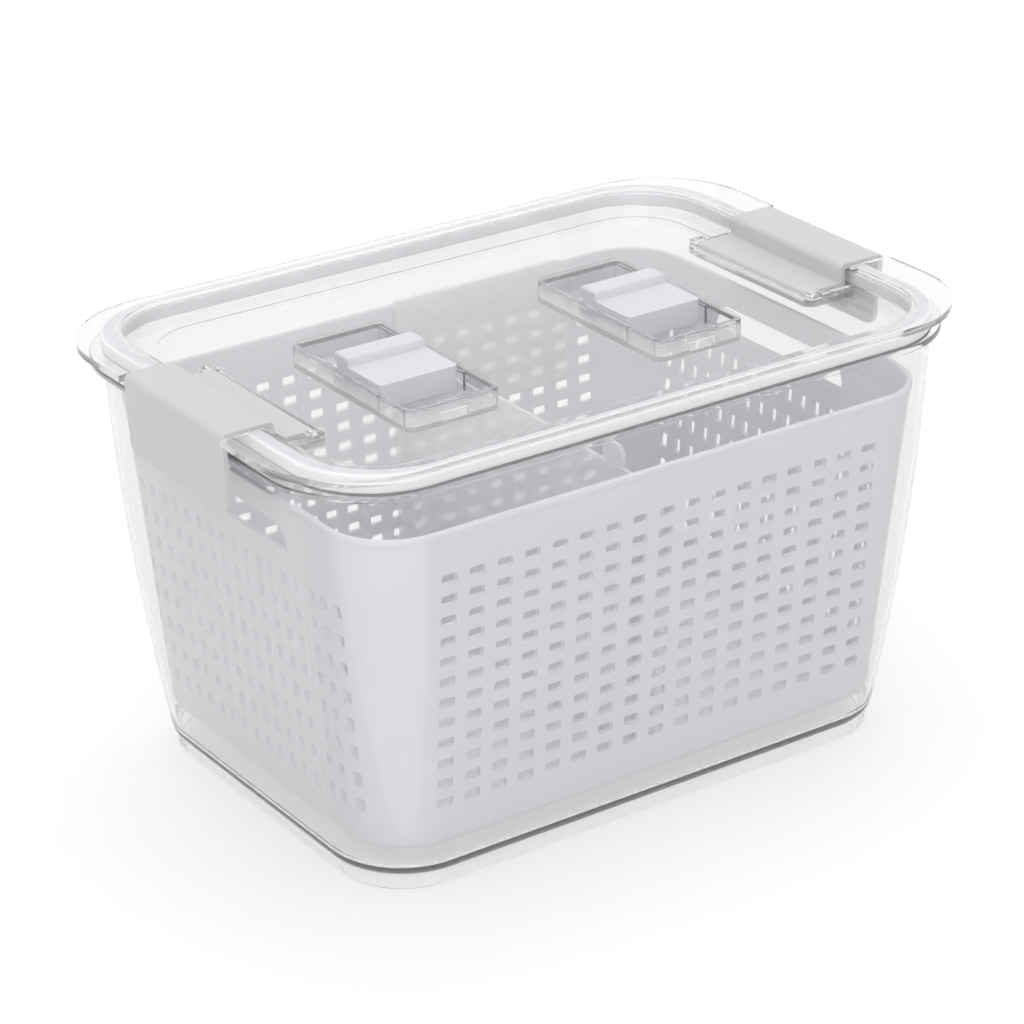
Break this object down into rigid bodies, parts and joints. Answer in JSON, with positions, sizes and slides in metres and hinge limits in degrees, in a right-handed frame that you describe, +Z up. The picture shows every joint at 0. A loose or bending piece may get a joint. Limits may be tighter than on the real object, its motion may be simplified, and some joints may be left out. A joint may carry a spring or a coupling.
{
  "type": "fridge storage box",
  "caption": "Clear lidded food storage box for a fridge, with a lift-out draining basket and divider, hinged end latches and sliding vents in the lid.",
  "frame": {"origin": "middle of the foot ring's underside, on the surface the box stands on", "axes": "+X along the box's length towards the right latch, +Y to the back, +Z up"},
  "size_m": [0.29, 0.19, 0.1684],
  "materials": {
    "clear_box": "clear moulded styrene plastic, polished",
    "clear_lid": "clear moulded styrene plastic, polished",
    "white_basket": "opaque white moulded polypropylene, fine satin",
    "frosted_divider": "translucent white moulded polypropylene",
    "frosted_latch": "translucent white moulded polypropylene, satin",
    "white_slider": "white moulded polypropylene, satin",
    "seal_silicone": "translucent white silicone rubber"
  },
  "bodies": {
    "box": {"outer_box": "clear_box"},
    "basket": {"basket": "white_basket"},
    "divider": {"divider": "frosted_divider"},
    "lid": {"lid": "clear_lid", "lid_seal": "seal_silicone"},
    "latch_left": {"latch_left": "frosted_latch"},
    "latch_right": {"latch_right": "frosted_latch"},
    "vent_slider_left": {"vent_slider_left": "white_slider"},
    "vent_slider_right": {"vent_slider_right": "white_slider"}
  },
  "joints": [
    {"name": "basket_lift", "type": "slide", "parent": "box", "child": "basket", "axis": [0, 0, 1], "range_m": [0, 0.16]},
    {"name": "divider_lift", "type": "slide", "parent": "basket", "child": "divider", "axis": [0, 0, 1], "range_m": [0, 0.13]},
    {"name": "lid_lift", "type": "slide", "parent": "divider", "child": "lid", "axis": [0, 0, 1], "range_m": [0, 0.05]},
    {"name": "latch_left_hinge", "type": "hinge", "parent": "lid", "child": "latch_left", "pos_m": [-0.1085, 0, 0.1594], "axis": [0, 1, 0], "range_deg": [0, 105]},
    {"name": "latch_right_hinge", "type": "hinge", "parent": "lid", "child": "latch_right", "pos_m": [0.1085, 0, 0.1594], "axis": [0, -1, 0], "range_deg": [0, 105]},
    {"name": "vent_left_slide", "type": "slide", "parent": "lid", "child": "vent_slider_left", "axis": [0, 1, 0], "range_m": [-0.0205, 0.0235]},
    {"name": "vent_right_slide", "type": "slide", "parent": "lid", "child": "vent_slider_right", "axis": [0, 1, 0], "range_m": [-0.0205, 0.0235]}
  ]
}
